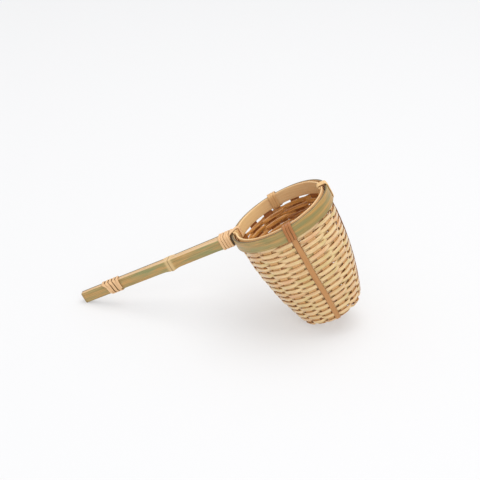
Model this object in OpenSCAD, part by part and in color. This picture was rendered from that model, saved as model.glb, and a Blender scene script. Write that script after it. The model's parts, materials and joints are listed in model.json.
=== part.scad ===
// Woven bamboo tea strainer with a split-bamboo handle.
// Every piece is drawn in the basket's own frame: the mouth's axis is +Z, the hoop's lower edge is
// at z = 0, the basket hangs below it and the handle runs towards -X. at_rest() then lays the whole
// strainer on the table, z = 0, on the handle's tip and the basket's bottom edge.

/* [Hoops] */
// Outside radius of the outer hoop
mouth_r = 34.8; // [33:0.1:38]
// Thickness of the outer hoop's strip
hoop_t = 1.3; // [1:0.1:1.3]
// Height of the outer hoop at the neck
hoop_h_neck = 7.6; // [6:0.1:9]
// Height of the outer hoop on the side away from the handle
hoop_h_far = 9.8; // [8:0.1:12]
// Thickness of the inner hoop's strip
inner_hoop_t = 1.2; // [0.8:0.1:1.5]

/* [Basket] */
// Depth of the basket below the hoop, as the wall's curve counts it
wall_h = 70; // [62:0.5:72]
// Radius that the wall's curve has at that depth
base_r = 19; // [18:0.1:22]
// How far the wall swells out half-way down
belly = 3.3; // [2:0.1:5]
// Radius of the turn from wall to base
base_turn = 2.2; // [1.8:0.1:5]

/* [Weave] */
// Thickness of a stake
stake_t = 0.7; // [0.5:0.05:0.8]
// Width of a stake at the mouth
stake_w_top = 6.6; // [5:0.1:6.8]
// Width of a stake at the basket's bottom edge
stake_w_edge = 4.6; // [3.6:0.1:4.8]
// Width of a stake where the stakes cross in the base
stake_w_core = 2.8; // [2.2:0.1:2.9]
// Thickness of the weft strip
weft_t = 0.55; // [0.4:0.05:0.6]
// Width of the weft strip
weft_w = 1.9; // [1.5:0.05:1.95]
// Rise of the weft in one turn
weft_pitch = 2.156; // [2.1:0.002:2.2]

/* [Ribs] */
// Thickness of a rib
rib_t = 0.6; // [0.5:0.05:0.8]
// Width of a rib under the hoop
rib_w_top = 4; // [3:0.1:4.2]
// Width of a rib on the base
rib_w_base = 3.2; // [2.6:0.1:3.6]

/* [Handle] */
// Length of the handle from the hoop to its tip
handle_len = 117; // [100:1:130]
// Thickness of both halves together at the tip
tip_t = 4.9; // [4:0.1:6]
// Thickness of both halves together at the neck lashing
neck_t = 8.6; // [7:0.1:9]
// Distance from the tip to the bamboo's node
node_from_tip = 68; // [60:1:80]

/* [Lashings] */
// Thickness of the rattan strand
strand_t = 0.8; // [0.6:0.05:0.9]
// Width of the rattan strand round the handle
strand_w = 2.1; // [1.8:0.1:2.2]

/* [Hidden] */
// Azimuths, in degrees from +X, of the stakes in turn round the basket. The strips cross at the
// base's middle, three from side to side laid on three from front to back; the odd one ends there.
STAKE_AZ = [-162, -134, -110, -85, -56, -24, -1, 30, 56, 84, 121, 145, 170];
LONG_STRIPS = [[-24, -162], [-1, 170], [30, 145]];
CROSS_STRIPS = [[-110, 121], [-85, 84], [-56, 56]];
ODD_STAKE_AZ = -134;
RIBS = [[-73, 107], [17, 171]];
RIM_LASHING_AZ = [287, 17, 107];

WEFTS = 10;             // lengths of weft, spliced end to end behind a stake
FLOATS_PER_WEFT = 46;   // stakes that one length passes
FIRST_FLOAT = 1;        // odd floats pass inside their stake, and the first length starts on one
WEFT_TOP = 0.48;        // depth of float 0, were it there

clear = 0.12;                                        // air left between neighbouring pieces
weave_half = stake_t / 2 + weft_t / 2 + 0.225;       // weft's centre from the stake's centre
wall_top_r = mouth_r - 3.2;                          // stake's centre radius at the hoop
wall_end = 0.953 * wall_h;                           // depth where the turn into the base starts
stake_top = 6;                                       // how far the stakes stand up in the rim

// ---- The meridian: stake-centre radius, height and lean of the wall's outward normal ----
rim_flare = 0.6;        // how far the wall steps out into the rim, between the next two depths
flare_start = 1.5;
flare_end = -0.5;
function wall_r(d) = let (s = max(d, 0) / wall_h)
    wall_top_r + (base_r - wall_top_r) * s + belly * 4 * s * (1 - s)
    + rim_flare * max(0, min(1, (flare_start - d) / (flare_start - flare_end)));
function wall_lean(d) = d < 0 ? 0
    : atan((wall_top_r - base_r - belly * 4 * (1 - 2 * d / wall_h)) / wall_h);
end_lean = wall_lean(wall_end);
turn_r = wall_r(wall_end) - base_turn * cos(end_lean);     // centre of the turn into the base
turn_z = -wall_end + base_turn * sin(end_lean);
turn_len = base_turn * (90 - end_lean) * PI / 180;
base_z = turn_z - base_turn;
function meridian(q) =
    q <= wall_end ? [wall_r(q), -q, wall_lean(q)]
    : q <= wall_end + turn_len
        ? let (a = end_lean + (q - wall_end) / base_turn * 180 / PI)
          [turn_r + base_turn * cos(a), turn_z - base_turn * sin(a), a]
        : [turn_r - (q - wall_end - turn_len), base_z, 90];

function radial(az) = [cos(az), sin(az), 0];
function along(az) = [-sin(az), cos(az), 0];
function outward(az, lean) = cos(lean) * radial(az) - [0, 0, sin(lean)];
function upward(az, lean) = sin(lean) * radial(az) + [0, 0, cos(lean)];
// A point at depth q and azimuth az, a distance out from the stakes' centre surface
function skin(az, q, out) = let (m = meridian(q))
    m[0] * radial(az) + [0, 0, m[1]] + out * outward(az, m[2]);
function blend(a, b, t) = a + (b - a) * t;
function unit(v) = v / norm(v);

// ---- A strip of four-cornered sections, each [centre, half width, half thickness] ----
module strip(sections) {
    n = len(sections);
    side_w = [1, -1, -1, 1];
    side_t = [1, 1, -1, -1];
    polyhedron(
        points = [for (s = sections) for (k = [0:3]) s[0] + side_w[k] * s[1] + side_t[k] * s[2]],
        faces = concat(
            [[0, 1, 2, 3]],
            [for (i = [0:n - 2]) for (k = [0:3]) let (m = (k + 1) % 4, a = 4 * i, b = a + 4)
                each [[a + k, b + k, b + m], [a + k, b + m, a + m]]],
            [[for (k = [3:-1:0]) 4 * (n - 1) + k]]));
}
function reversed(list) = [for (i = [len(list) - 1:-1:0]) list[i]];

// ---- Stakes ----
WALL_STEPS = 10;
TURN_STEPS = 4;
core_r = 9;                                          // where the stakes start to cross
core_q = wall_end + turn_len + turn_r - core_r;
core_level = stake_t / 2 + clear / 2;                // each set's height above or below the base
// Depths at which a strip that runs up the wall has its sections, from the top down
function wall_depths(top) = concat(
    [-top, flare_end, flare_start],
    [for (i = [1:WALL_STEPS]) wall_end * i / WALL_STEPS],
    [for (i = [1:TURN_STEPS]) wall_end + turn_len * i / TURN_STEPS]);
function stake_width(q) = q <= wall_end
    ? blend(stake_w_top, stake_w_edge, max(0, q) / wall_end)
    : blend(stake_w_edge, stake_w_core, min(1, (q - wall_end) / (core_q - wall_end)));
function stake_wall(az, turn) = [for (q = concat(wall_depths(stake_top), [core_q]))
    [skin(az, q, 0), turn * along(az) * stake_width(q) / 2,
     outward(az, meridian(q)[2]) * stake_t / 2]];

// A strip that runs down the wall, across the base at a height of its own, and up again
module stake_strip(p, level) {
    ends = [for (az = p) (core_r - 1.5) * radial(az) + [0, 0, base_z + level]];
    way = unit(ends[1] - ends[0]);
    across = [for (end = ends)
        [end, [way[1], -way[0], 0] * stake_w_core / 2, [0, 0, -stake_t / 2]]];
    color("burlywood") strip(concat(
        stake_wall(p[0], 1), across, reversed(stake_wall(p[1], -1))));
}
module stake_strip_long(i) {
    stake_strip(LONG_STRIPS[i], core_level);
}
module stake_strip_cross(i) {
    stake_strip(CROSS_STRIPS[i], -core_level);
}
module stake_odd() {
    color("burlywood") strip(stake_wall(ODD_STAKE_AZ, 1));
}

// ---- Wefts: one float per stake, odd floats inside and even floats outside ----
function float_az(g) = STAKE_AZ[g % len(STAKE_AZ)] + 360 * floor(g / len(STAKE_AZ));
function float_depth(az) = WEFT_TOP + weft_pitch * (az - STAKE_AZ[0]) / 360;
function float_side(g) = g % 2 == 0 ? 1 : -1;
function weft_section(centre, az, lean) =
    [centre, upward(az, lean) * weft_w / 2, outward(az, lean) * weft_t / 2];
function float_ends(g, from, to) =
    let (az = float_az(g), q = float_depth(az), lean = meridian(q)[2],
         half = stake_width(q) / 2 + 0.25, middle = skin(az, q, float_side(g) * weave_half))
    [for (end = [from, to]) weft_section(middle + along(az) * half * end, az, lean)];
// The weft crosses from one side of the wall to the other half-way between two stakes
function between(g) =
    let (az = (float_az(g) + float_az(g + 1)) / 2, q = float_depth(az))
    weft_section(skin(az, q, 0), az, meridian(q)[2]);
module weft_length(i) {
    first = FIRST_FLOAT + FLOATS_PER_WEFT * i;
    last = first + FLOATS_PER_WEFT;
    splice = 0.1;
    color("wheat") strip(concat(
        float_ends(first, splice, 1),
        [for (g = [first + 1:last - 1])
            each concat([between(g - 1)], float_ends(g, -1, 1))],
        [between(last - 1)],
        float_ends(last, -1, -splice)));
}

// ---- Ribs: laid over the wefts, tucked into the rim, crossing under the base ----
rib_on_stake = weave_half + weft_t / 2 + clear + rib_t / 2;
rib_between = rib_on_stake - 0.35;
reach = 11;                                          // a stake nearer than this lifts the rib
rib_in_rim = stake_t / 2 + clear + 0.1 + rib_t / 2;
function rib_lift(az) =
    min([for (s = STAKE_AZ) abs((az - s + 540) % 360 - 180)]) < reach ? rib_on_stake : rib_between;
function rib_width(q) = blend(rib_w_top, rib_w_base, min(1, max(0, q) / wall_end));
function rib_wall(az, turn) = [for (q = wall_depths(stake_top - 0.5))
    [skin(az, q, q <= 0 ? rib_in_rim : rib_lift(az)), turn * along(az) * rib_width(q) / 2,
     outward(az, meridian(q)[2]) * rib_t / 2]];
// The first rib runs through the base's middle; the second meets it at rib_crossing
function rib_way(p) = unit(radial(p[1]) - radial(p[0]));
function rib_side(p) = let (way = rib_way(p)) [way[1], -way[0], 0];
rib_crossing = radial(RIBS[0][1]) * turn_r * (radial(RIBS[1][0]) * rib_side(RIBS[1]))
    / (radial(RIBS[0][1]) * rib_side(RIBS[1]));
module rib(p, dip) {
    crossing_half = rib_w_base / 2 + 0.4;
    color("peru") strip(concat(
        rib_wall(p[0], 1),
        [for (x = [-crossing_half - 4, -crossing_half, crossing_half, crossing_half + 4])
            [rib_crossing + rib_way(p) * x
                 + [0, 0, base_z - rib_on_stake - (abs(x) <= crossing_half ? dip : 0)],
             rib_side(p) * rib_w_base / 2, [0, 0, -rib_t / 2]]],
        reversed(rib_wall(p[1], -1))));
}
module rib_front_to_back() rib(RIBS[0], 0);
module rib_side_to_side() rib(RIBS[1], rib_t + clear);

// ---- Hoop and handle: one split strip, its thick ends laid back to back as the handle ----
hoop_mid_r = mouth_r - hoop_t / 2;
split = 0.1;                                   // half the slit between the handle's halves
bend_r = 3;                                    // the strip's bend from handle to hoop
bend_y = neck_t / 2 - hoop_t / 2 + bend_r;
bend_x = -sqrt(pow(hoop_mid_r + bend_r, 2) - pow(bend_y, 2));
bend_end = atan(bend_y / -bend_x);             // where the bend runs into the hoop
tip_x = -mouth_r - handle_len;
node_x = tip_x + node_from_tip;
thick_x = -mouth_r - 15;                       // the halves are thickest just outside the neck
shaved = 2.5;                                  // the halves part this far before the bend
node_swell = 0.9;
node_half = 6;
function handle_face(x) = blend(tip_t, neck_t, (x - tip_x) / (thick_x - tip_x)) / 2;
// One half of the outline, seen from above: skin side, from the tip to the hoop's far side
HOOP_STEP = 4;
function skin_side() = concat(
    [[tip_x, -tip_t / 2],
     [node_x - node_half, -handle_face(node_x - node_half)],
     [node_x, -handle_face(node_x) - node_swell / 2],
     [node_x + node_half, -handle_face(node_x + node_half)],
     [thick_x, -neck_t / 2]],
    [for (a = [90:-10:bend_end + 5]) [bend_x, -bend_y] + (bend_r - hoop_t / 2) * [cos(a), sin(a)]],
    [for (az = [-180 + bend_end:HOOP_STEP:-1]) mouth_r * [cos(az), sin(az)]],
    [[mouth_r, 0]]);
function flesh_side() = concat(
    [[tip_x, -split], [bend_x - shaved, -split]],
    [for (a = [90:-10:bend_end + 5]) [bend_x, -bend_y] + (bend_r + hoop_t / 2) * [cos(a), sin(a)]],
    [for (az = [-180 + bend_end:HOOP_STEP:-1]) (mouth_r - hoop_t) * [cos(az), sin(az)]],
    [[mouth_r - hoop_t, 0]]);
function mirrored(list) = [for (i = [len(list) - 2:-1:0]) [list[i][0], -list[i][1]]];
// Side view: the handle sags a little at its node, and the hoop's top edge rises to the far side
tip_h = 7.7;
neck_h = 7.2;
tip_low = 1.95;
neck_low = 0.2;
neck_x = thick_x;
sag = 0.3;
function handle_low(x) = blend(tip_low, neck_low, (x - tip_x) / (neck_x - tip_x))
    - sag * (x < node_x ? (x - tip_x) / (node_x - tip_x) : max(0, (neck_x - x) / (neck_x - node_x)));
function handle_top(x) = handle_low(x) + blend(tip_h, neck_h, (x - tip_x) / (neck_x - tip_x));
hoop_rise = (hoop_h_far - hoop_h_neck) / (2 * mouth_r);
function hoop_top(x) = hoop_h_neck + hoop_rise * (x + mouth_r);
module side_view() {
    before = node_x - node_half;
    after = node_x + node_half;
    polygon([
        [tip_x, handle_low(tip_x)], [before, handle_low(before)],
        [node_x, handle_low(node_x) - node_swell], [after, handle_low(after)],
        [neck_x, handle_low(neck_x)], [neck_x + 6, 0], [mouth_r + 1, 0],
        [mouth_r + 1, hoop_top(mouth_r + 1)], [-mouth_r, hoop_h_neck],
        [neck_x, handle_top(neck_x)], [after, handle_top(after)],
        [node_x, handle_top(node_x) + node_swell / 4], [before, handle_top(before)],
        [tip_x, handle_top(tip_x)]]);
}
module hoop_and_handle() {
    color("darkkhaki") intersection() {
        translate([0, 0, -5]) linear_extrude(20)
            polygon(concat(skin_side(), mirrored(skin_side()),
                           reversed(mirrored(reversed(concat([[0, 0]], reversed(flesh_side()))))),
                           reversed(flesh_side())));
        translate([0, mouth_r + 5, 0]) rotate([90, 0, 0])
            linear_extrude(2 * mouth_r + 10) side_view();
    }
}

// ---- Inner hoop: a plain strip bent into a ring, pinched at the neck, its ends lapping ----
inner_hoop_r = wall_top_r + rim_flare - stake_t / 2 - clear - 0.03;
inner_hoop_low = 0.6;
inner_hoop_rise = 0.55;                        // how far it stands above the outer hoop
JOINT_AZ = 8;                                  // the end that stands inside the lap
lap_deg = 6;
lap_in = inner_hoop_t + 0.2;
ease_deg = 16;                                 // from the lap back to the ring
nose_az = 184;
nose_half = 8;
nose_reach = 3;
function inner_hoop_outside(az) = inner_hoop_r
    + nose_reach * max(0, 1 - abs(az - nose_az) / nose_half)
    - lap_in * max(0, min(1, 1 - (az - JOINT_AZ - lap_deg) / ease_deg));
module inner_hoop() {
    azimuths = concat([for (az = [JOINT_AZ:lap_deg / 2:nose_az - nose_half]) az],
                      [nose_az - nose_half, nose_az, nose_az + nose_half],
                      [for (az = [nose_az + nose_half + lap_deg:lap_deg / 2:JOINT_AZ + 360 + lap_deg]) az]);
    color("khaki") intersection() {
        translate([0, 0, inner_hoop_low]) linear_extrude(15)
            polygon(concat(
                [for (az = azimuths) let (r = inner_hoop_outside(az)) r * [cos(az), sin(az)]],
                [for (az = reversed(azimuths)) let (r = inner_hoop_outside(az) - inner_hoop_t)
                    r * [cos(az), sin(az)]]));
        translate([0, mouth_r + 5, 0]) rotate([90, 0, 0]) linear_extrude(2 * mouth_r + 10)
            polygon([[-mouth_r, 0], [mouth_r, 0],
                     [mouth_r, hoop_top(mouth_r) + inner_hoop_rise],
                     [-mouth_r, hoop_top(-mouth_r) + inner_hoop_rise]]);
    }
}

// ---- Rim lashings: strands wound over both hoops, passing beside the rib underneath ----
lash_out = mouth_r + clear;
lash_half_deg = 6.1;
function lash_in(az) = inner_hoop_outside(az - lash_half_deg) - inner_hoop_t - clear;
rib_half_deg = 3.8;
lash_turns = 3;
groove_deg = 0.35;
// A block that bends round the mouth, from azimuth -half_deg to half_deg
module bent_block(from, to, low, high, inner, outer) {
    steps = 4;
    azimuths = [for (i = [0:steps]) blend(from, to, i / steps)];
    translate([0, 0, low]) linear_extrude(high - low)
        polygon(concat([for (az = azimuths) outer * [cos(az), sin(az)]],
                       [for (az = reversed(azimuths)) inner * [cos(az), sin(az)]]));
}
module lashing_turn(from, to, top, inner, thick) {
    difference() {
        bent_block(from, to, -clear - thick, top + thick, inner - thick, lash_out + thick);
        bent_block(from - 1, to + 1, -clear, top, inner, lash_out);
    }
}
module rim_lashing(az) {
    top = hoop_top(lash_out * cos(az)) + inner_hoop_rise + 0.2;
    inner = lash_in(az);
    turn_deg = 2 * lash_half_deg / lash_turns;
    color("sandybrown") rotate([0, 0, az]) difference() {
        union() {
            lashing_turn(-lash_half_deg, lash_half_deg, top, inner, strand_t * 0.6);
            for (i = [0:lash_turns - 1])
                lashing_turn(-lash_half_deg + turn_deg * i + groove_deg,
                             -lash_half_deg + turn_deg * (i + 1) - groove_deg, top, inner, strand_t);
        }
        bent_block(-rib_half_deg, rib_half_deg, -5, -clear, inner - 5, lash_out + 5);
    }
}

// ---- Handle lashings: turns of strand round both halves ----
module handle_turn(x, half_y, low, high) {
    translate([x - strand_w / 2, 0, 0]) difference() {
        translate([0, -half_y - strand_t, low - strand_t])
            cube([strand_w, 2 * (half_y + strand_t), high - low + 2 * strand_t]);
        translate([-1, -half_y, low]) cube([strand_w + 2, 2 * half_y, high - low]);
    }
}
TURN_STEP = strand_w - 0.02;
HANDLE_TURNS = 5;
neck_turn_x = bend_x - 0.1;                    // the turn nearest the mouth
module neck_lashing() {
    room = 0.25;
    low = -room;
    high = hoop_h_neck + room;
    color("sandybrown") {
        for (i = [0:HANDLE_TURNS - 1])
            handle_turn(neck_turn_x - i * TURN_STEP, neck_t / 2 + (i == 0 ? 0.2 : 0) + clear, low, high);
        // the strand goes on over the rim at the neck and back under it
        tie_top = hoop_top(-inner_hoop_r) + inner_hoop_rise + clear;
        tie_end = inner_hoop_t + clear - inner_hoop_r;
        for (z = [low - strand_t, tie_top])
            translate([neck_turn_x, -strand_w / 2, z])
                cube([tie_end - neck_turn_x + strand_t, strand_w, strand_t]);
        translate([tie_end, -strand_w / 2, low - strand_t])
            cube([strand_t, strand_w, tie_top - low + 2 * strand_t]);
    }
}
module tip_lashing() {
    start = 19.6;
    color("sandybrown") for (i = [0:HANDLE_TURNS - 1]) {
        x = tip_x + start + i * TURN_STEP;
        handle_turn(x, handle_face(x + strand_w) + clear,
                    handle_low(x + strand_w) - clear, handle_top(x - strand_w) + clear);
    }
}

// ---- The strainer laid on the table ----
// The lowest corner of the rib nearest the handle and the tip's lower edge both touch z = 0.
rib_edge = cos(abs(RIBS[1][1] - 180) - asin(rib_w_base / 2 / (turn_r + base_turn)));
hold_x = -tip_x - turn_r * rib_edge;
hold_z = -turn_z + tip_low;
hold_r = base_turn + rib_on_stake + rib_t / 2;
lay = atan2(hold_z, hold_x) + asin(hold_r * 0.995 / norm([hold_x, hold_z]));
lift = -tip_x * sin(lay) - tip_low * cos(lay);
left_end = tip_x * cos(lay) - handle_top(tip_x) * sin(lay);
right_end = max([for (s = rib_wall(RIBS[1][0], 1)) for (k = [-1, 1]) for (t = [-1, 1])
    let (p = s[0] + k * s[1] + t * s[2]) p[0] * cos(lay) - p[2] * sin(lay)]);
module at_rest() {
    translate([-(left_end + right_end) / 2, 0, lift]) rotate([0, -lay, 0]) children();
}

at_rest() hoop_and_handle();
at_rest() inner_hoop();
for (i = [0:2]) {
    at_rest() stake_strip_long(i);
    at_rest() stake_strip_cross(i);
}
at_rest() stake_odd();
for (i = [0:WEFTS - 1])
    at_rest() weft_length(i);
at_rest() rib_front_to_back();
at_rest() rib_side_to_side();
at_rest() rim_lashing(RIM_LASHING_AZ[0]);  // rim_lashing_front
at_rest() rim_lashing(RIM_LASHING_AZ[1]);  // rim_lashing_far
at_rest() rim_lashing(RIM_LASHING_AZ[2]);  // rim_lashing_back
at_rest() neck_lashing();
at_rest() tip_lashing();
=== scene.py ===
import json
import math

import bmesh
import bpy
from mathutils import Matrix, Vector, noise


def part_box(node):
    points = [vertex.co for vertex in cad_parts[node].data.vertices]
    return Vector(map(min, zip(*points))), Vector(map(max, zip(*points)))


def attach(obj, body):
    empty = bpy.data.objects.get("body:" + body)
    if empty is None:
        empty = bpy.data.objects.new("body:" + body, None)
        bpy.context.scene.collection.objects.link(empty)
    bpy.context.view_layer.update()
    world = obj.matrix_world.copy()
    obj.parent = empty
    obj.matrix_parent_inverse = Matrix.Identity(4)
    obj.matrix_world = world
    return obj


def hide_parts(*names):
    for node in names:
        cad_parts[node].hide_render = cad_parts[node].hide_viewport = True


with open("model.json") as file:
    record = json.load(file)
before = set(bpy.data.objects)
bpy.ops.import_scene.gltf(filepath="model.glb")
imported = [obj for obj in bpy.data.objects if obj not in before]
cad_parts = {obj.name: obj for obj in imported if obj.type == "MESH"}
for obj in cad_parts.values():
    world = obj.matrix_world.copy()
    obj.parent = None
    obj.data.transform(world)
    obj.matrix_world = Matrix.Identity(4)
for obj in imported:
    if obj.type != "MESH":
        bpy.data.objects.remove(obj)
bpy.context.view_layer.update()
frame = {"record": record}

# Every piece is drawn in the basket's own frame, in millimetres: the mouth's axis is +Z, the outer
# hoop's lower edge is at z = 0 and the handle runs towards -X. BASKET takes that to the part's frame.
MM = 0.001
MOUTH_MID_Z = 8.7           # the mouth mount's height above the hoop's lower edge
mounts = {m["name"]: m for m in frame["record"]["mounts"]}
mouth_axis = Vector(mounts["mouth"]["axis"]).normalized()
lengthways = Vector((mouth_axis.z, 0, -mouth_axis.x))
origin = Vector(mounts["mouth"]["pos_m"]) - MOUTH_MID_Z * MM * mouth_axis
BASKET = Matrix.Translation(origin) @ Matrix((
    (lengthways.x, 0, mouth_axis.x, 0),
    (lengthways.y, 1, mouth_axis.y, 0),
    (lengthways.z, 0, mouth_axis.z, 0),
    (0, 0, 0, 1))) @ Matrix.Scale(MM, 4)

# ---- Driving sizes ----
# Lengths are in millimetres, and azimuths in degrees from +X, which points away from the handle.
# A depth runs straight down the wall, and from there along its turn and the base.
low_corner, high_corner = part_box("hoop_and_handle")
MOUTH_R = (high_corner.y - low_corner.y) / 2 / MM
HOOP_T = 1.3
HOOP_H_NECK = 7.6
HOOP_H_FAR = 9.8
INNER_HOOP_T = 1.2

WALL_H = 70
WALL_TOP_R = MOUTH_R - 3.2
BASE_R = 19
BELLY = 3.2                 # how far the wall bulges out at half its depth
RIM_FLARE = 0.6             # the wall steps out into the rim between the next two depths
FLARE_START = 1.5
FLARE_END = -0.5
BASE_TURN = 2.2
WALL_END = 0.953 * WALL_H

STAKE_AZ = [-162, -134, -110, -85, -56, -24, -1, 30, 56, 84, 121, 145, 170]
LONG_STRIPS = [(-24, -162), (-1, 170), (30, 145)]
CROSS_STRIPS = [(-110, 121), (-85, 84), (-56, 56)]
ODD_STAKE_AZ = -134
STAKE_T = 0.7
STAKE_W_TOP = 6.6
STAKE_W_EDGE = 4.6
STAKE_W_CORE = 2.8
STAKE_TOP = 6               # how far the stakes reach up between the hoops
CORE_R = 9                  # within this the stakes run straight across the base
STAKE_AIR = 0.12            # between two strips that cross in the base

WEFTS = 10
FLOATS_PER_WEFT = 46        # the stretches from stake to stake in one length
FIRST_FLOAT = 1
WEFT_TOP = 0.48
WEFT_PITCH = 2.156          # depth gained in one turn of the weave
WEFT_T = 0.8
WEAVE_OUT = 0.86            # from a stake's middle to the middle of a weft that passes it

RIBS = [(-73, 107), (17, 171)]
RIB_T = 0.75
RIB_W_TOP = 4.0
RIB_W_BASE = 3.2
RIB_ON_STAKE = 1.45
RIB_BETWEEN = 1.2
RIB_IN_RIM = 0.86
RIB_REACH = 11              # a rib this near to a stake's azimuth lies on it

HANDLE_LEN = 117
TIP_X = -MOUTH_R - HANDLE_LEN
THICK_X = -MOUTH_R - 15
NODE_X = TIP_X + 68
TIP_T = 4.9
NECK_T = 8.6
TIP_H = 7.7
NECK_H = 7.2
TIP_LOW = 1.95
NECK_LOW = 0.2
SAG = 0.3
SPLIT = 0.1                 # half the gap between the handle's halves
BEND_R = 3
SHAVED = 2.5                # the halves thin to the hoop's thickness over this length, before the bend

STRAND_T = 0.8
STRAND_AIR = 0.1            # between a lashing and what it holds


# ---- Small mathematics ----
def blend(a, b, t):
    return a + (b - a) * t


def clamp(x, low=0.0, high=1.0):
    return max(low, min(high, x))


def ease(x):
    """A smooth step from 0 to 1."""
    x = clamp(x)
    return x * x * (3 - 2 * x)


def bump(x, half_width):
    """A smooth hump that is 1 at x = 0."""
    return math.exp(-(x / half_width) ** 2)


def wander(x, lane):
    """A smooth random value from about -1 to 1 that changes over a unit of x."""
    return 2 * noise.noise(Vector((x, lane * 7.31, 0.37 + lane)))


def signed_power(x, power):
    return math.copysign(abs(x) ** power, x)


def radial(az):
    return Vector((math.cos(az), math.sin(az), 0))


def along(az):
    return Vector((-math.sin(az), math.cos(az), 0))


UP = Vector((0, 0, 1))


def smooth_path(points, steps):
    """Points on a smooth curve through the given ones."""
    path = []
    for i in range(len(points) - 1):
        before = points[max(i - 1, 0)]
        a, b = points[i], points[i + 1]
        after = points[min(i + 2, len(points) - 1)]
        for k in range(steps):
            t = k / steps
            path.append(0.5 * (2 * a + (b - before) * t
                               + (2 * before - 5 * a + 4 * b - after) * t * t
                               + (3 * a - before - 3 * b + after) * t ** 3))
    path.append(points[-1].copy())
    return path


# ---- The basket's wall ----
def wall_radius(depth):
    s = max(depth, 0) / WALL_H
    flare = RIM_FLARE * ease((FLARE_START - depth) / (FLARE_START - FLARE_END))
    return WALL_TOP_R + (BASE_R - WALL_TOP_R) * s + BELLY * 4 * s * (1 - s) + flare


def wall_lean(depth):
    if depth < 0:
        return 0.0
    return math.atan((WALL_TOP_R - BASE_R - BELLY * 4 * (1 - 2 * depth / WALL_H)) / WALL_H)


END_LEAN = wall_lean(WALL_END)
TURN_R = wall_radius(WALL_END) - BASE_TURN * math.cos(END_LEAN)
TURN_Z = -WALL_END + BASE_TURN * math.sin(END_LEAN)
TURN_LEN = BASE_TURN * (math.pi / 2 - END_LEAN)
BASE_Z = TURN_Z - BASE_TURN
CORE_DEPTH = WALL_END + TURN_LEN + TURN_R - CORE_R


def meridian(depth):
    """Radius, height and lean of the stakes' middle surface at a depth."""
    if depth <= WALL_END:
        return wall_radius(depth), -depth, wall_lean(depth)
    if depth <= WALL_END + TURN_LEN:
        a = END_LEAN + (depth - WALL_END) / BASE_TURN
        return TURN_R + BASE_TURN * math.cos(a), TURN_Z - BASE_TURN * math.sin(a), a
    return TURN_R - (depth - WALL_END - TURN_LEN), BASE_Z, math.pi / 2


def on_wall(az, depth, out):
    """A point on the wall, with its outward and upward directions."""
    r, z, lean = meridian(depth)
    outward = math.cos(lean) * radial(az) - math.sin(lean) * UP
    upward = math.sin(lean) * radial(az) + math.cos(lean) * UP
    return r * radial(az) + z * UP + out * outward, outward, upward


def hoop_top(x):
    return HOOP_H_NECK + (HOOP_H_FAR - HOOP_H_NECK) * (x + MOUTH_R) / (2 * MOUTH_R)


# ---- Meshes ----
SEED_STEP = 400             # mm of grain between one piece's grain and the next one's
OVAL_POINTS = 14
PLANK_CORNER_POINTS = 5
PLANK_FACE_STEPS = 5
FLESH_CORNER = 0.3


def oval(width, thick, corner):
    """A strip's cross-section as (across, out) points: an oval, squarer where corner is nearer 0."""
    points = []
    for k in range(OVAL_POINTS):
        a = 2 * math.pi * (k + 0.5) / OVAL_POINTS
        points.append((width / 2 * signed_power(math.cos(a), corner),
                       thick / 2 * signed_power(math.sin(a), corner)))
    return points


def plank(low, high, inner, skin_corner, bulge=0.0):
    """A split strip's cross-section: skin at out = 0 and flesh at out = inner, which is negative."""
    middle = (low + high) / 2
    half = (high - low) / 2
    points = []
    corners = [(low, 1, inner, 1, FLESH_CORNER, 180), (high, -1, inner, 1, FLESH_CORNER, 270),
               (high, -1, 0, -1, skin_corner, 0), (low, 1, 0, -1, skin_corner, 90)]
    for k, (u, u_in, w, w_in, corner, from_deg) in enumerate(corners):
        for i in range(PLANK_CORNER_POINTS):
            a = math.radians(from_deg + 90 * i / (PLANK_CORNER_POINTS - 1))
            points.append((u + corner * (u_in + math.cos(a)), w + corner * (w_in + math.sin(a))))
        if k in (0, 2):
            start, end = points[-1][0], corners[k + 1][0] + corners[k + 1][1] * corner
            for i in range(1, PLANK_FACE_STEPS):
                points.append((blend(start, end, i / PLANK_FACE_STEPS), w))
    return [(u, w + bulge * (1 - ((u - middle) / half) ** 2) * (w > inner / 2)) for u, w in points]


def sweep(name, sections, seed):
    """A closed mesh through sections, each (centre, across, out, profile, tone)."""
    points, grain, tones, faces = [], [], [], []
    length = SEED_STEP * seed
    for i, (centre, across, out, profile, tone) in enumerate(sections):
        if i:
            length += (centre - sections[i - 1][0]).length
        for u, w in profile:
            points.append(BASKET @ (centre + across * u + out * w))
            grain.append((length, u, w))
            tones.append(tone)
    n = len(sections[0][3])
    last = len(sections) - 1
    for i in range(last):
        a, b = i * n, (i + 1) * n
        for k in range(n):
            m = (k + 1) % n
            faces.append((a + k, b + k, b + m, a + m))
    faces.append(tuple(range(n)))
    faces.append(tuple(reversed(range(last * n, last * n + n))))
    mesh = bpy.data.meshes.new(name)
    mesh.from_pydata(points, [], faces)
    store = mesh.attributes.new("grain", "FLOAT_VECTOR", "POINT")
    store.data.foreach_set("vector", [x for g in grain for x in g])
    store = mesh.attributes.new("tone", "FLOAT", "POINT")
    store.data.foreach_set("value", tones)
    mesh.polygons.foreach_set("use_smooth", [len(f) == 4 for f in faces])
    mesh.update()
    piece = bpy.data.objects.new(name, mesh)
    bpy.context.scene.collection.objects.link(piece)
    return piece


def joined(name, pieces):
    """One object made of several meshes."""
    with bpy.context.temp_override(active_object=pieces[0], selected_editable_objects=pieces):
        bpy.ops.object.join()
    pieces[0].name = name
    return pieces[0]


def outward_normals_fixed(piece):
    """Turns every face of a closed mesh outwards."""
    mesh = bmesh.new()
    mesh.from_mesh(piece.data)
    bmesh.ops.recalc_face_normals(mesh, faces=mesh.faces)
    mesh.to_mesh(piece.data)
    mesh.free()


def finish_piece(piece, node, material):
    outward_normals_fixed(piece)
    piece.data.materials.clear()
    piece.data.materials.append(material)
    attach(piece, "root")
    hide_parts(node)


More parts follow.
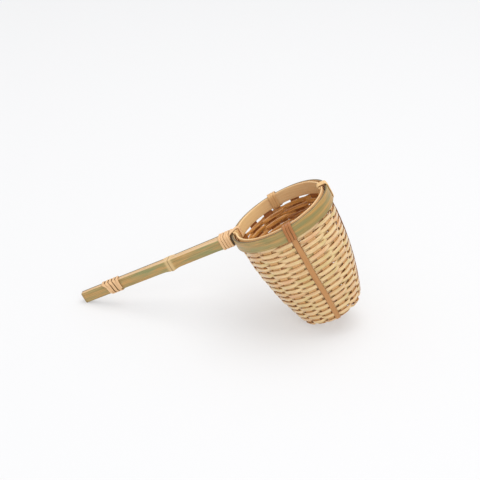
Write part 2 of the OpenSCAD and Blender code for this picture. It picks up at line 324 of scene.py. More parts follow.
def flat_strip(path, outs, widths, thicks, corner, tone=0.0):
    """Sections for a flat strip along a path; outs say which way its broad face looks.

    A width or a thickness is one number or a list with one for each point."""
    widths, thicks = ([x] * len(path) if isinstance(x, float) else x for x in (widths, thicks))
    sections = []
    for i, centre in enumerate(path):
        tangent = (path[min(i + 1, len(path) - 1)] - path[max(i - 1, 0)]).normalized()
        across = outs[i].cross(tangent).normalized()
        out = tangent.cross(across).normalized()
        sections.append((centre, across, out, oval(widths[i], thicks[i], corner), tone))
    return sections


# ---- Materials ----
BUMP_DEPTH = 0.12 * MM
COAT_ROUGHNESS = 0.25


class Nodes:
    """A short way to write a node tree."""

    def __init__(self, name):
        self.material = bpy.data.materials.new(name)
        self.material.use_nodes = True
        self.tree = self.material.node_tree
        self.shader = self.tree.nodes["Principled BSDF"]

    def add(self, kind, **values):
        node = self.tree.nodes.new(kind)
        for key, value in values.items():
            setattr(node, key, value)
        return node

    def link(self, source, target):
        self.tree.links.new(source, target)

    def attribute(self, name):
        return self.add("ShaderNodeAttribute", attribute_name=name)

    def separate(self, vector):
        node = self.add("ShaderNodeSeparateXYZ")
        self.link(vector, node.inputs[0])
        return node

    def noise(self, scale, detail=2.0, rough=0.5, offset=(0, 0, 0)):
        """Noise on the grain, with its own scale along the strip, across it and through it."""
        mapping = self.add("ShaderNodeMapping")
        mapping.inputs["Scale"].default_value = scale
        mapping.inputs["Location"].default_value = offset
        self.link(self.attribute("grain").outputs["Vector"], mapping.inputs["Vector"])
        node = self.add("ShaderNodeTexNoise")
        node.inputs["Scale"].default_value = 1.0
        node.inputs["Detail"].default_value = detail
        node.inputs["Roughness"].default_value = rough
        self.link(mapping.outputs["Vector"], node.inputs["Vector"])
        return node.outputs["Fac"]

    def ramp(self, value, *stops):
        """Colours at places from 0 to 1."""
        node = self.add("ShaderNodeValToRGB")
        elements = node.color_ramp.elements
        while len(elements) < len(stops):
            elements.new(0.5)
        for element, (place, colour) in zip(elements, stops):
            element.position = place
            element.color = (*colour, 1)
        self.link(value, node.inputs["Fac"])
        return node.outputs["Color"]

    def span(self, value, low, high, to_low=0.0, to_high=1.0):
        """A smooth step from to_low to to_high while the value goes from low to high."""
        node = self.add("ShaderNodeMapRange", interpolation_type="SMOOTHSTEP")
        for key, number in (("From Min", low), ("From Max", high), ("To Min", to_low), ("To Max", to_high)):
            node.inputs[key].default_value = number
        self.link(value, node.inputs["Value"])
        return node.outputs["Result"]

    def mix(self, factor, a, b):
        """Colour a where the factor is 0 and colour b where it is 1."""
        node = self.add("ShaderNodeMix", data_type="RGBA")
        for value, socket in ((factor, node.inputs[0]), (a, node.inputs[6]), (b, node.inputs[7])):
            if isinstance(value, tuple):
                socket.default_value = (*value, 1)
            else:
                self.link(value, socket)
        return node.outputs[2]

    def maths(self, operation, *values):
        node = self.add("ShaderNodeMath", operation=operation)
        for value, socket in zip(values, node.inputs):
            if isinstance(value, float):
                socket.default_value = value
            else:
                self.link(value, socket)
        return node.outputs[0]

    def plus(self, a, b):
        return self.maths("ADD", a, b)

    def times(self, a, b):
        return self.maths("MULTIPLY", a, b)

    def absolute(self, a):
        return self.maths("ABSOLUTE", a)

    def finish(self, colour, height, rough, coat, strength=0.35):
        self.link(colour, self.shader.inputs["Base Color"])
        bump_node = self.add("ShaderNodeBump")
        bump_node.inputs["Strength"].default_value = strength
        bump_node.inputs["Distance"].default_value = BUMP_DEPTH
        self.link(height, bump_node.inputs["Height"])
        self.link(bump_node.outputs["Normal"], self.shader.inputs["Normal"])
        self.link(rough, self.shader.inputs["Roughness"])
        self.shader.inputs["Coat Weight"].default_value = coat
        self.shader.inputs["Coat Roughness"].default_value = COAT_ROUGHNESS
        return self.material


def srgb(red, green, blue):
    """A colour written in the usual 0 to 255 numbers, as the linear one that a shader takes."""
    return tuple((c / 255 / 12.92) if c < 10 else ((c / 255 + 0.055) / 1.055) ** 2.4
                 for c in (red, green, blue))


def skin_material():
    """Green-grey bamboo skin with tan streaks, its edges olive darkened by painted shade, and its flesh tan.

    The tone is 1 at the node, 0.05 where the upper edge takes a painted highlight instead, 0.02 where the
    edges are broad, -0.2 where the skin has golden streaks and -1 where painted shade darkens the bend."""
    n = Nodes("bamboo_skin")
    split = n.separate(n.attribute("grain").outputs["Vector"])
    depth = split.outputs["Z"]
    patches = n.noise((0.035, 0.22, 0.1), detail=3.0, rough=0.6)
    streaks = n.noise((0.02, 2.6, 1.0), detail=4.0, rough=0.65)
    fine = n.noise((0.12, 9.0, 4.0), detail=3.0, rough=0.6)
    skin = n.ramp(patches, (0.32, srgb(130, 138, 88)), (0.45, srgb(166, 144, 88)),
                  (0.56, srgb(196, 146, 82)), (0.7, srgb(146, 134, 78)))
    skin = n.mix(n.span(streaks, 0.38, 0.72), skin, srgb(112, 104, 54))
    skin = n.mix(n.span(fine, 0.4, 0.75, 0.0, 0.4), skin, srgb(208, 180, 124))
    tone = n.attribute("tone").outputs["Fac"]
    bands = n.noise((0.02, 0.42, 0.3), detail=3.0, rough=0.6)
    golden = n.ramp(bands, (0.38, srgb(120, 116, 62)), (0.5, srgb(144, 120, 60)), (0.63, srgb(188, 138, 66)))
    skin = n.mix(n.span(tone, -0.02, -0.2, 0.0, 0.65), skin, golden)
    flesh = n.ramp(streaks, (0.3, srgb(196, 154, 102)), (0.6, srgb(216, 182, 136)),
                   (0.8, srgb(232, 206, 164)))
    # The skin's rounded corners are olive, darkened past the skin's own colour as painted shade for the
    # grazing rear edges.
    edge = n.ramp(fine, (0.25, srgb(74, 60, 26)), (0.6, srgb(102, 84, 42)), (0.85, srgb(134, 114, 68)))
    # Painted highlight: where the tone is 0.05, on the near half of the handle, the upper edge takes the
    # flesh colour as if lit from above.
    upper = n.times(n.span(tone, 0.035, 0.045), n.span(split.outputs["Y"], 4, 6))
    edge = n.mix(upper, edge, flesh)
    colour = n.mix(n.span(depth, -0.18, -0.4), skin, edge)
    broad = n.plus(depth, n.span(tone, 0.0, 0.02, 0.0, 0.6))
    colour = n.mix(n.span(broad, -1.08, -1.28), colour, flesh)
    colour = n.mix(n.span(tone, 0.1, 0.7, 0.0, 0.75), colour, srgb(216, 184, 130))
    colour = n.mix(n.span(tone, 0.96, 0.995, 0.0, 0.6), colour, srgb(112, 76, 34))
    # Painted shade: towards a tone of -1 the bend turns dark brown.
    colour = n.mix(n.span(tone, -0.22, -0.8, 0.0, 0.92), colour, srgb(58, 34, 10))
    height = n.plus(n.times(fine, 0.5), streaks)
    rough = n.span(fine, 0.3, 0.8, 0.38, 0.55)
    return n.finish(colour, height, rough, coat=0.12, strength=0.3)


def strip_material(name, dark, middle, pale, edge=None, inside=None):
    """A shaved bamboo or rattan strip with fibres along it.

    It is darkened from edge mm off its middle as painted shade where it meets its neighbours, has another
    colour on its inner face if inside is given, and is paler where its tone is 1, which is painted light on
    the inner hoop and the back rim lashing."""
    n = Nodes(name)
    patches = n.noise((0.03, 0.3, 0.2), detail=3.0, rough=0.6)
    fibres = n.noise((0.06, 4.5, 3.0), detail=4.0, rough=0.65)
    fine = n.noise((0.25, 14.0, 8.0), detail=2.0)
    colour = n.ramp(fibres, (0.28, dark), (0.5, middle), (0.72, pale))
    colour = n.mix(n.span(patches, 0.4, 0.65, 0.0, 0.45), colour, middle)
    colour = n.mix(n.span(fine, 0.55, 0.8, 0.0, 0.35), colour, dark)
    place = n.separate(n.attribute("grain").outputs["Vector"])
    # The inside colour on the inner face is, for the stakes, partly their own inner face and partly painted
    # shade of the basket's inside.
    if inside:
        colour = n.mix(n.span(place.outputs["Z"], 0.1, -0.1), colour, inside)
    # Painted light: the tone paints the strip paler, on the inner hoop's neck side and the back rim lashing.
    paleness = n.span(n.attribute("tone").outputs["Fac"], 0.0, 1.0, 0.0, 0.7)
    colour = n.mix(paleness, colour, srgb(242, 206, 146))
    # Painted shade along the strip's edges, where it meets its neighbours.
    if edge:
        across = n.absolute(place.outputs["Y"])
        colour = n.mix(n.span(across, edge, edge + 0.25, 0.0, 0.8), colour, srgb(112, 68, 32))
    height = n.plus(n.times(fine, 0.5), fibres)
    rough = n.span(fibres, 0.3, 0.75, 0.42, 0.6)
    return n.finish(colour, height, rough, coat=0.05)


def weft_material():
    """Thin strips, straw on the face that looks out of the basket and amber on the other: partly the strip's
    own colour, partly painted shade and painted highlights of the basket's inside.
    """
    n = Nodes("bamboo_weft")
    place = n.separate(n.attribute("grain").outputs["Vector"])
    patches = n.noise((0.022, 0.25, 0.2), detail=3.0, rough=0.6)
    hue = n.noise((0.05, 0.1, 0.1), detail=2.0, offset=(31, 0, 0))
    fibres = n.noise((0.16, 3.2, 2.0), detail=4.0, rough=0.7)
    fine = n.noise((0.5, 9.0, 5.0), detail=3.0, rough=0.6)
    outside = n.ramp(patches, (0.34, srgb(206, 158, 102)), (0.5, srgb(232, 200, 146)),
                     (0.66, srgb(212, 188, 122)))
    outside = n.mix(n.span(hue, 0.52, 0.66, 0.0, 0.6), outside, srgb(196, 178, 104))
    outside = n.mix(n.span(hue, 0.46, 0.34, 0.0, 0.5), outside, srgb(222, 162, 116))
    # The inner face runs from deep brown to golden: partly the strip's colour, partly painted shade and
    # painted highlights of the basket's inside.
    inside = n.ramp(patches, (0.36, srgb(138, 72, 20)), (0.5, srgb(232, 168, 92)), (0.6, srgb(184, 122, 40)))
    colour = n.mix(n.span(place.outputs["Z"], -0.22, 0.1), inside, outside)
    across = n.absolute(place.outputs["Y"])
    # Painted shade along the strip's edges, between the rows.
    colour = n.mix(n.span(across, 0.75, 1.3, 0.0, 0.5), colour, srgb(178, 118, 62))
    colour = n.mix(n.span(fibres, 0.58, 0.3, 0.0, 0.55), colour, srgb(180, 124, 68))
    # Fine pale streaks: grain, brightened to near white as painted highlights.
    colour = n.mix(n.span(fine, 0.5, 0.75, 0.0, 0.6), colour, srgb(248, 226, 180))
    rough = n.span(fibres, 0.3, 0.75, 0.2, 0.4)
    return n.finish(colour, n.plus(fibres, n.times(fine, 0.5)), rough, coat=0.6, strength=0.5)


# ---- Stakes ----
CROSSING_R = CORE_R - 1.5   # inside this the strips lie in two layers
STAKE_CORNER = 0.45


def steps_between(low, high, count):
    return [blend(low, high, i / count) for i in range(count + 1)]


def stake_width(depth):
    if depth <= WALL_END:
        return blend(STAKE_W_TOP, STAKE_W_EDGE, max(0, depth) / WALL_END)
    return blend(STAKE_W_EDGE, STAKE_W_CORE, clamp((depth - WALL_END) / (CORE_DEPTH - WALL_END)))


def wall_depths(top):
    return (steps_between(-top, WALL_END, 44) + steps_between(WALL_END, WALL_END + TURN_LEN, 6)[1:]
            + steps_between(WALL_END + TURN_LEN, CORE_DEPTH, 6)[1:])


def stake_wall(az_deg, lane):
    """Path, outward directions and widths of a strip that runs down the wall to the base's core."""
    az = math.radians(az_deg)
    path, outs, widths = [], [], []
    for depth in wall_depths(STAKE_TOP):
        point, outward, _ = on_wall(az, depth, 0)
        path.append(point + along(az) * 0.15 * wander(depth / 14, lane))
        outs.append(outward)
        widths.append(stake_width(depth) * (1 + 0.04 * wander(depth / 9, lane + 0.5)))
    return path, outs, widths


def stake_strip(name, ends, level, lane):
    """A strip down one side, across the base in its own layer, and up the other side."""
    first, second = (stake_wall(az, lane + i) for i, az in enumerate(ends))
    core = [CROSSING_R * radial(math.radians(az)) + (BASE_Z + level) * UP for az in ends]
    middle = [blend(core[0], core[1], i / 10) for i in range(11)]
    path = first[0] + middle + second[0][::-1]
    outs = first[1] + [-UP] * len(middle) + second[1][::-1]
    widths = first[2] + [STAKE_W_CORE] * len(middle) + second[2][::-1]
    return sweep(name, flat_strip(path, outs, widths, STAKE_T, STAKE_CORNER), lane)


def make_stakes(material):
    level = (STAKE_T + STAKE_AIR) / 2
    for i, ends in enumerate(LONG_STRIPS):
        name = f"stake_strip_long_{i + 1}"
        finish_piece(stake_strip("woven_" + name, ends, level, 2 * i), name, material)
    for i, ends in enumerate(CROSS_STRIPS):
        name = f"stake_strip_cross_{i + 1}"
        finish_piece(stake_strip("woven_" + name, ends, -level, 10 + 2 * i), name, material)
    path, outs, widths = stake_wall(ODD_STAKE_AZ, 20)
    sections = flat_strip(path, outs, widths, STAKE_T, STAKE_CORNER)
    finish_piece(sweep("woven_stake_odd", sections, 20), "stake_odd", material)


# ---- Wefts ----
WEFT_STEPS = 9              # sections from one stake to the next
WEFT_W_CROSSING = 2.2
WEFT_W_FLOAT = 2.9
SPLICE = 0.4                # how far two lengths lie over each other, in stakes
SPLICE_LIFT = 0.7
SNAP = 1.25                 # how quickly it passes from one side of the wall to the other
STRAY_REACH = 0.2
STRAY_DEPTH = 0.34
STRAY_WIDTH = 0.12
STRAY_THICKNESS = 0.1
WEFT_CORNER = 0.72


def float_azimuth(g):
    return STAKE_AZ[g % len(STAKE_AZ)] + 360 * (g // len(STAKE_AZ))


def weft_length(index):
    first = FIRST_FLOAT + FLOATS_PER_WEFT * index
    last = first + FLOATS_PER_WEFT
    start, end = first - SPLICE * (index > 0), last + SPLICE * (index < WEFTS - 1)
    count = round((end - start) * WEFT_STEPS)
    path, outs, widths, thicks = [], [], [], []
    for i in range(count + 1):
        t = blend(start, end, i / count)
        g = math.floor(t)
        az_deg = blend(float_azimuth(g), float_azimuth(g + 1), t - g)
        depth = WEFT_TOP + WEFT_PITCH * (az_deg - STAKE_AZ[0]) / 360
        swing = math.cos(math.pi * (t - g)) * (1 if g % 2 == 0 else -1)
        side = math.sin(math.pi / 2 * clamp(SNAP * swing, -1, 1))
        tuck = SPLICE_LIFT * (1 - ease((t - start) / (2 * SPLICE))) * (index > 0)
        reach = WEAVE_OUT * side * (1 + STRAY_REACH * wander(t / 1.1, index)) - tuck
        depth += STRAY_DEPTH * wander(t / 1.3, index + 40)
        point, outward, _ = on_wall(math.radians(az_deg), depth, reach)
        path.append(point)
        outs.append(outward)
        fullness = ease((abs(side) - 0.2) / 0.7)
        widths.append(blend(WEFT_W_CROSSING, WEFT_W_FLOAT, fullness)
                      * (1 + STRAY_WIDTH * wander(t / 2.5, index + 80)))
        thicks.append(WEFT_T * (1 + STRAY_THICKNESS * wander(t / 3, index + 120)))
    sections = flat_strip(path, outs, widths, thicks, WEFT_CORNER)
    return sweep(f"woven_weft_length_{index + 1}", sections, 30 + 3 * index)


def make_wefts(material):
    for i in range(WEFTS):
        finish_piece(weft_length(i), f"weft_length_{i + 1}", material)


# ---- Ribs ----
RIB_CORNER = 0.55
RIB_TOP = STAKE_TOP - 0.5
RIB_STEP_TOP, RIB_STEP_END = -0.6, 1.0      # the depths between which it steps out from the rim
RIB_FLAT_HALF = 10          # a rib is straight this far each way from where the two cross
RIB_SINK = 0.1              # how far the two press into each other there
DIP_HALF = 2                # the lower one lies deeper this far each way
DIP_EASE = 5                # and comes back up over this length


def rib_lift(az_deg):
    nearest = min(abs((az_deg - s + 540) % 360 - 180) for s in STAKE_AZ)
    return RIB_ON_STAKE if nearest < RIB_REACH else RIB_BETWEEN


def rib_wall(az_deg, lane):
    az = math.radians(az_deg)
    path, outs, widths = [], [], []
    for depth in [d for d in wall_depths(RIB_TOP) if d <= WALL_END + TURN_LEN]:
        lift = rib_lift(az_deg) + 0.07 * wander(depth / 3, lane)
        lift = blend(RIB_IN_RIM, lift, ease((depth - RIB_STEP_TOP) / (RIB_STEP_END - RIB_STEP_TOP)))
        point, outward, _ = on_wall(az, depth, lift)
        path.append(point + along(az) * 0.18 * wander(depth / 16, lane + 1))
        outs.append(outward)
        widths.append(blend(RIB_W_TOP, RIB_W_BASE, clamp(depth / WALL_END))
                      * (1 + 0.03 * wander(depth / 8, lane)))
    return path, outs, widths


def rib_way(ends):
    first, second = (radial(math.radians(az)) for az in ends)
    return (second - first).normalized()


def rib_crossing():
    """Where the second rib crosses the first one, which runs through the base's middle."""
    side = rib_way(RIBS[1]).cross(UP)
    first, second = radial(math.radians(RIBS[0][1])), radial(math.radians(RIBS[1][0]))
    return first * TURN_R * second.dot(side) / first.dot(side)


def rib(name, ends, dip, lane):
    first, second = (rib_wall(az, lane + i) for i, az in enumerate(ends))
    middle = []
    for x in steps_between(-RIB_FLAT_HALF, RIB_FLAT_HALF, 16):
        pressed = dip * (1 - ease((abs(x) - DIP_HALF) / DIP_EASE))
        middle.append(rib_crossing() + rib_way(ends) * x + (BASE_Z - RIB_ON_STAKE - pressed) * UP)
    path = first[0] + middle + second[0][::-1]
    outs = first[1] + [-UP] * len(middle) + second[1][::-1]
    widths = first[2] + [RIB_W_BASE] * len(middle) + second[2][::-1]
    return sweep(name, flat_strip(path, outs, widths, RIB_T, RIB_CORNER), lane)


def make_ribs(material):
    names = ("rib_front_to_back", "rib_side_to_side")
    for i, (name, ends) in enumerate(zip(names, RIBS)):
        piece = rib("laid_" + name, ends, (RIB_T - RIB_SINK) * i, 70 + 4 * i)
        finish_piece(piece, name, material)


# ---- Outer hoop and handle ----
HOOP_MID_R = MOUTH_R - HOOP_T / 2
BEND_Y = NECK_T / 2 - HOOP_T / 2 + BEND_R
BEND_X = -math.sqrt((HOOP_MID_R + BEND_R) ** 2 - BEND_Y ** 2)
BEND_END = math.atan2(BEND_Y, -BEND_X)
NODE_RISE = 0.9
NODE_SPREAD = 3.6
NODE_HALF = 9               # the stretch of handle each side of the node that has close sections
SCAR_RISE = 0.12            # the node's ring, and the groove beside it
GROOVE = 0.1
NEAR_SHOULDER = 0.6         # radius of the skin's turn into the top of each half of the handle
FAR_SHOULDER = 0.8
HOOP_SHOULDER = 0.6
HANDLE_BULGE = 0.25
HOOP_BULGE = 0.06
NECK_EASE = 6               # the handle's section turns into the hoop's over this length
# Painted shade darkens the skin at the bend.
BEND_SHADE_EASE = 0.9           # the dark of the bend begins this far before it
# The first tone paints a highlight on the upper edge of the handle's near half.
PAINTED_HIGHLIGHT_EDGE, BROAD_EDGE, STREAKED = 0.05, 0.02, -0.2    # tones of the skin, as its material reads them


def handle_low(x):
    low = blend(TIP_LOW, NECK_LOW, (x - TIP_X) / (THICK_X - TIP_X))
    if x < NODE_X:
        return low - SAG * (x - TIP_X) / (NODE_X - TIP_X)
    return low - SAG * clamp((THICK_X - x) / (THICK_X - NODE_X))


def handle_top(x):
    return handle_low(x) + blend(TIP_H, NECK_H, (x - TIP_X) / (THICK_X - TIP_X))


def handle_face(x):
    return min(NECK_T, blend(TIP_T, NECK_T, (x - TIP_X) / (THICK_X - TIP_X))) / 2


def handle_section(x, shoulder, edge_tone):
    """A section of the near half of the handle: its skin looks towards -Y."""
    swell = NODE_RISE * bump(x - NODE_X, NODE_SPREAD)
    scar = SCAR_RISE * bump(x - NODE_X - 0.6, 0.5) - GROOVE * bump(x - NODE_X + 1.2, 0.6)
    face = handle_face(x) + swell / 2 + scar
    near_neck = clamp((x - THICK_X) / NECK_EASE)
    low = blend(handle_low(x) - swell - scar, 0, near_neck)
    high = blend(handle_top(x) + swell / 4, hoop_top(-MOUTH_R), clamp((x - THICK_X) / (-MOUTH_R - THICK_X)))
    depth = blend(face - SPLIT, HOOP_T, clamp((x - BEND_X + SHAVED) / SHAVED))
    corner = blend(shoulder, HOOP_SHOULDER, near_neck)
    bulge = HANDLE_BULGE * (1 - near_neck)
    profile = plank(low, high, bulge - depth, corner, bulge=bulge)
    # The tone falls to -1 towards the bend, for its painted shade.
    tone = max(edge_tone, bump(x - NODE_X, 2.5)) - ease((x - BEND_X + BEND_SHADE_EASE) / BEND_SHADE_EASE)
    return Vector((x, bulge - face, 0)), UP, Vector((0, -1, 0)), profile, tone


def hoop_section(x, y, out, high, tone):
    return Vector((x, y, 0)), UP, out, plank(0, high, -HOOP_T, HOOP_SHOULDER, HOOP_BULGE), tone


def near_half(shoulder, edge_tone):
    """Sections from the handle's tip along the near side to the hoop's far side."""
    fine = steps_between(NODE_X - NODE_HALF, NODE_X + NODE_HALF, 48)
    xs = steps_between(TIP_X, fine[0], 30)[:-1] + fine + steps_between(fine[-1], THICK_X, 16)[1:]
    xs += steps_between(THICK_X, BEND_X - SHAVED, 8)[1:] + steps_between(BEND_X - SHAVED, BEND_X, 4)[1:]
    sections = [handle_section(x, shoulder, edge_tone) for x in xs]
    for a in steps_between(math.pi / 2, BEND_END, 12)[1:]:
        x = BEND_X + (BEND_R - HOOP_T / 2) * math.cos(a)
        y = -BEND_Y + (BEND_R - HOOP_T / 2) * math.sin(a)
        # Painted shade on the bend, fading towards the hoop.
        bend_shade = -ease((a - BEND_END) / (math.pi / 2 - BEND_END) * 1.4)
        sections.append(hoop_section(x, y, -radial(a), hoop_top(max(x, -MOUTH_R)), bend_shade))
    for az in steps_between(-math.pi + BEND_END, 0, 90)[1:]:
        p = MOUTH_R * radial(az)
        tone = STREAKED * ease((p.x + 30) / 60)
        sections.append(hoop_section(p.x, p.y, radial(az), hoop_top(p.x), tone))
    return sections


def make_hoop_and_handle(material):
    near = near_half(NEAR_SHOULDER, PAINTED_HIGHLIGHT_EDGE)
    other = near_half(FAR_SHOULDER, BROAD_EDGE)
    flip = Vector((1, -1, 1))
    far = [(c * flip, across, out * flip, profile, tone) for c, across, out, profile, tone in other[-2::-1]]
    piece = sweep("bent_hoop_and_handle", near + far, 90)
    finish_piece(piece, "hoop_and_handle", material)


# ---- Inner hoop ----
INNER_R = WALL_TOP_R + RIM_FLARE - STAKE_T / 2 - 0.15
INNER_LOW = 0.6
INNER_RISE = 0.55           # how far it stands above the outer hoop
INNER_WAVE = 0.12           # how uneven its upper edge is
INNER_CORNER = 0.3
# Painted light: the inner hoop is painted paler towards the neck, where light falls on its inner face.
INNER_PAINTED_LIGHT = 0.7        # its tone at the neck, where it is palest
JOINT_AZ = 8                # degrees; the end that stands inside the lap
LAP_DEG = 6
LAP_IN = INNER_HOOP_T + 0.2
EASE_DEG = 16               # from the lap back to the ring
NOSE_AZ = 184
NOSE_HALF = 8
NOSE_REACH = 3


def inner_hoop_outside(az_deg):
    """Its outside radius: a ring with a nose at the neck, and one end inside the other."""
    nose = max(0, 1 - abs(az_deg - NOSE_AZ) / NOSE_HALF)
    lap = 1 - ease((az_deg - JOINT_AZ - LAP_DEG) / EASE_DEG)
    return INNER_R + NOSE_REACH * nose ** 1.3 - LAP_IN * lap


def make_inner_hoop(material):
    sections = []
    for az_deg in steps_between(JOINT_AZ, JOINT_AZ + 360 + LAP_DEG, 244):
        az = math.radians(az_deg)
        r = inner_hoop_outside(az_deg)
        high = hoop_top(r * math.cos(az)) + INNER_RISE + INNER_WAVE * wander(az * 3, 99) - INNER_WAVE
        profile = plank(INNER_LOW, high, -INNER_HOOP_T, INNER_CORNER)
        # The tone, highest at the neck, is painted light.
        sections.append((r * radial(az), UP, radial(az), profile, INNER_PAINTED_LIGHT * ease(-math.cos(az))))
    piece = sweep("bent_inner_hoop", sections, 100)
    finish_piece(piece, "inner_hoop", material)


# ---- Lashings ----
BOX_CORNER = 0.38           # how square a turn is round what it holds
TURN_STEPS = 44
STRAND_CORNER = 0.85
RIM_STRAND_W = 1.95
HANDLE_STRAND_W = 1.85
TIP_STRAND_W = 2.15
NECK_FROM_X = -MOUTH_R - 10.5
TIP_FROM_X = TIP_X + 18.5
TIE_W = 1.35
TIE_T = 0.7
TIE_CORNER = 0.62

RIM_TURNS = 3
RIM_HALF_DEG = 6.1          # half of what a rim lashing covers
RIM_TOP_AIR = 0.15
RIM_PITCH = RIM_STRAND_W + 0.08
# The back lashing's tone of 0.6 paints it paler as painted light on the rim's shaded inner side; the far
# one's tone of 1.0 makes it palest.
RIM_LASHINGS = (            # name, azimuth, lane of its random values, tone
    ("rim_lashing_front", 287, 110, 0.0),
    ("rim_lashing_far", 17, 115, 1.0),
    ("rim_lashing_back", 107, 120, 0.6))


def boxed_turn(angle, half_width, half_height):
    """A point on a rounded rectangle round the origin."""
    return (half_width * signed_power(math.cos(angle), BOX_CORNER),
            half_height * signed_power(math.sin(angle), BOX_CORNER))


def winding(place, turns, lane, width, tone=0.0):
    """Sections of a strand wound from below; place(turn, angle) gives a point and its outward way."""
    path, outs = [], []
    for i in range(round(turns * TURN_STEPS) + 1):
        turn = i / TURN_STEPS
        point, out = place(turn, -math.pi / 2 + 2 * math.pi * turn)
        path.append(point)
        outs.append(out)
    widths = [width * (1 + 0.06 * wander(i / 9, lane)) for i in range(len(path))]
    return flat_strip(path, outs, widths, STRAND_T, STRAND_CORNER, tone)


def rim_lashing(name, az_deg, lane, tone):
    """Turns over both hoops, side by side."""
    inner = inner_hoop_outside(az_deg - RIM_HALF_DEG) - INNER_HOOP_T - INNER_WAVE - STRAND_T / 2
    outer = MOUTH_R + STRAND_AIR + STRAND_T / 2
    top = hoop_top(MOUTH_R * math.cos(math.radians(az_deg))) + INNER_RISE + RIM_TOP_AIR + STRAND_T / 2
    bottom = -STRAND_AIR - STRAND_T / 2
    spread = math.degrees(RIM_PITCH / MOUTH_R)

    def place(turn, angle):
        across, height = boxed_turn(angle, (outer - inner) / 2, (top - bottom) / 2)
        shift = spread * (turn - RIM_TURNS / 2) + 0.25 * wander(turn * 3, lane + 3)
        az = math.radians(az_deg + shift)
        point = ((outer + inner) / 2 + across) * radial(az) + ((top + bottom) / 2 + height) * UP
        return point, across * radial(az) + height * UP
    return sweep(name, winding(place, RIM_TURNS, lane, RIM_STRAND_W, tone), lane)


def handle_winding(name, x_from, pitch, turns, low, high, lane, width,
                   slant=0.0, splay=0.0, stray=0.2):
    """Turns round both halves of the handle, leaning by slant and parting by splay at the top."""
    lift = STRAND_AIR + STRAND_T / 2

    def place(turn, angle):
        x = x_from + pitch * turn
        y, z = boxed_turn(angle, handle_face(x) + lift, (high(x) - low(x)) / 2 + lift)
        x += slant * math.sin(angle) + splay * (2 * turn / turns - 1) * max(0, math.sin(angle))
        x += stray * wander(turn * 2.5, lane + 5)
        middle = (high(x) + low(x)) / 2
        return Vector((x, y, middle + z)), Vector((0, y, z))
    return sweep(name, winding(place, turns, lane, width), lane)


def neck_tie(aside):
    """The strand's end, carried over the rim at the neck and down inside it."""
    top = hoop_top(-INNER_R) + INNER_RISE
    route = ((-37.2, -3.6, 5.5), (-36.8, -3.4, 7.6), (-35.4, -2.6, top + 0.3), (-33.6, -0.8, top + 0.6),
             (-31.6, 1.4, top + 0.6), (-30.3, 2.0, top - 0.3), (-29.9, 1.4, 5.5), (-29.7, 0.2, 2.0))
    path = smooth_path([Vector((x, y + aside, z)) for x, y, z in route], 8)
    outs = [Vector((p.x + 34.5, p.y * 0.5, (p.z - 4.0) * 1.5)) for p in path]
    return sweep("tie", flat_strip(path, outs, TIE_W, TIE_T, TIE_CORNER), 150)


def make_lashings(rim, handle):
    for name, az_deg, lane, tone in RIM_LASHINGS:
        finish_piece(rim_lashing("wound_" + name, az_deg, lane, tone), name, rim)
    neck = handle_winding("wound_neck_lashing", NECK_FROM_X, 1.98, 4.6, lambda x: -STRAND_AIR,
                          lambda x: HOOP_H_NECK + STRAND_AIR, 130, HANDLE_STRAND_W)
    ties = [neck_tie(side * 0.55 * TIE_W) for side in (-1, 1)]
    neck = joined("wound_neck_lashing", [neck] + ties)
    finish_piece(neck, "neck_lashing", handle)
    tip = handle_winding("wound_tip_lashing", TIP_FROM_X, 2.15, 4.8, handle_low, handle_top, 140,
                         TIP_STRAND_W, slant=-0.9, splay=1.1, stray=0.6)
    finish_piece(tip, "tip_lashing", handle)


# ---- Stage ----
CAMERA_AZ = 0.1391
CAMERA_EL = 0.4842
CAMERA_DISTANCE = 0.8
CAMERA_TARGET = Vector((0.0145, -0.0003, 0.0552))
FOCAL_WIDTHS = 2.556        # focal length over the picture's width
SENSOR = 36.0
FLOOR_HALF = 4.0


def direction(azimuth, elevation):
    """The way from the object to something seen at that azimuth from -Y and that elevation."""
    return Vector((math.sin(azimuth) * math.cos(elevation), -math.cos(azimuth) * math.cos(elevation),
                   math.sin(elevation)))


def make_camera():
    data = bpy.data.cameras.new("camera")
    data.sensor_width = SENSOR
    data.lens = FOCAL_WIDTHS * SENSOR
    data.clip_start = 0.01
    camera = bpy.data.objects.new("camera", data)
    back = direction(CAMERA_AZ, CAMERA_EL)
    camera.location = CAMERA_TARGET + back * CAMERA_DISTANCE
    camera.rotation_euler = (-back).to_track_quat("-Z", "Y").to_euler()
    bpy.context.scene.collection.objects.link(camera)
    bpy.context.scene.camera = camera


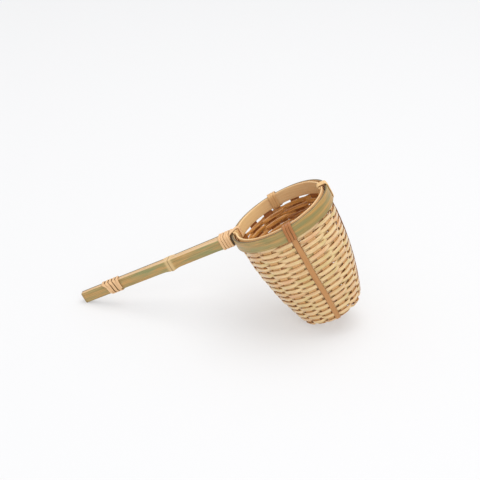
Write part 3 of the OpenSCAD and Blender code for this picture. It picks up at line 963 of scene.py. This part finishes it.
def make_floor():
    corners = [(x * FLOOR_HALF, y * FLOOR_HALF, 0) for x, y in ((-1, -1), (1, -1), (1, 1), (-1, 1))]
    mesh = bpy.data.meshes.new("floor")
    mesh.from_pydata(corners, [], [(0, 1, 2, 3)])
    floor = bpy.data.objects.new("floor", mesh)
    bpy.context.scene.collection.objects.link(floor)
    material = bpy.data.materials.new("floor_paper")
    material.use_nodes = True
    shader = material.node_tree.nodes["Principled BSDF"]
    shader.inputs["Base Color"].default_value = (0.43, 0.43, 0.435, 1)
    shader.inputs["Emission Color"].default_value = (1.0, 1.0, 1.0, 1)
    shader.inputs["Emission Strength"].default_value = 0.4
    shader.inputs["Roughness"].default_value = 0.9
    shader.inputs["Specular IOR Level"].default_value = 0.1
    mesh.materials.append(material)


def area_light(name, place, size, power, colour):
    data = bpy.data.lights.new(name, "AREA")
    data.shape = "DISK"
    data.size = size
    data.energy = power
    data.color = colour
    light = bpy.data.objects.new(name, data)
    light.location = place
    light.rotation_euler = (-place).to_track_quat("-Z", "Y").to_euler()
    bpy.context.scene.collection.objects.link(light)


def make_lights():
    area_light("key", Vector((0.2, 0.15, 1.4)), 1.3, 10, (1.0, 0.98, 0.95))
    area_light("front_fill", Vector((0.3, -1.2, 0.9)), 1.2, 5, (0.97, 0.98, 1.0))
    world = bpy.data.worlds.new("studio")
    bpy.context.scene.world = world
    world.use_nodes = True
    background = world.node_tree.nodes["Background"]
    background.inputs["Color"].default_value = (0.97, 0.98, 1.0, 1)
    background.inputs["Strength"].default_value = 0.85


make_camera()
make_floor()
make_lights()
bpy.context.scene.view_settings.view_transform = "Standard"

make_hoop_and_handle(skin_material())
make_inner_hoop(strip_material("bamboo_hoop", srgb(200, 150, 98), srgb(220, 180, 128), srgb(234, 202, 154)))
# The stakes' browns, which show in the gaps between the wefts, are kept dark partly as painted shade there;
# their darker amber inner face is partly painted shade too.
make_stakes(strip_material("bamboo_stake", srgb(190, 134, 78), srgb(214, 166, 106), srgb(230, 194, 138),
                           inside=srgb(150, 88, 34)))
make_wefts(weft_material())
make_ribs(strip_material("bamboo_rib", srgb(158, 100, 50), srgb(184, 130, 74), srgb(208, 158, 102), edge=1.5))
make_lashings(strip_material("rattan_rim", srgb(138, 78, 32), srgb(170, 108, 54), srgb(196, 140, 82),
                             edge=0.78),
              strip_material("rattan_handle", srgb(194, 146, 98), srgb(224, 180, 130), srgb(240, 208, 164),
                             edge=0.8))
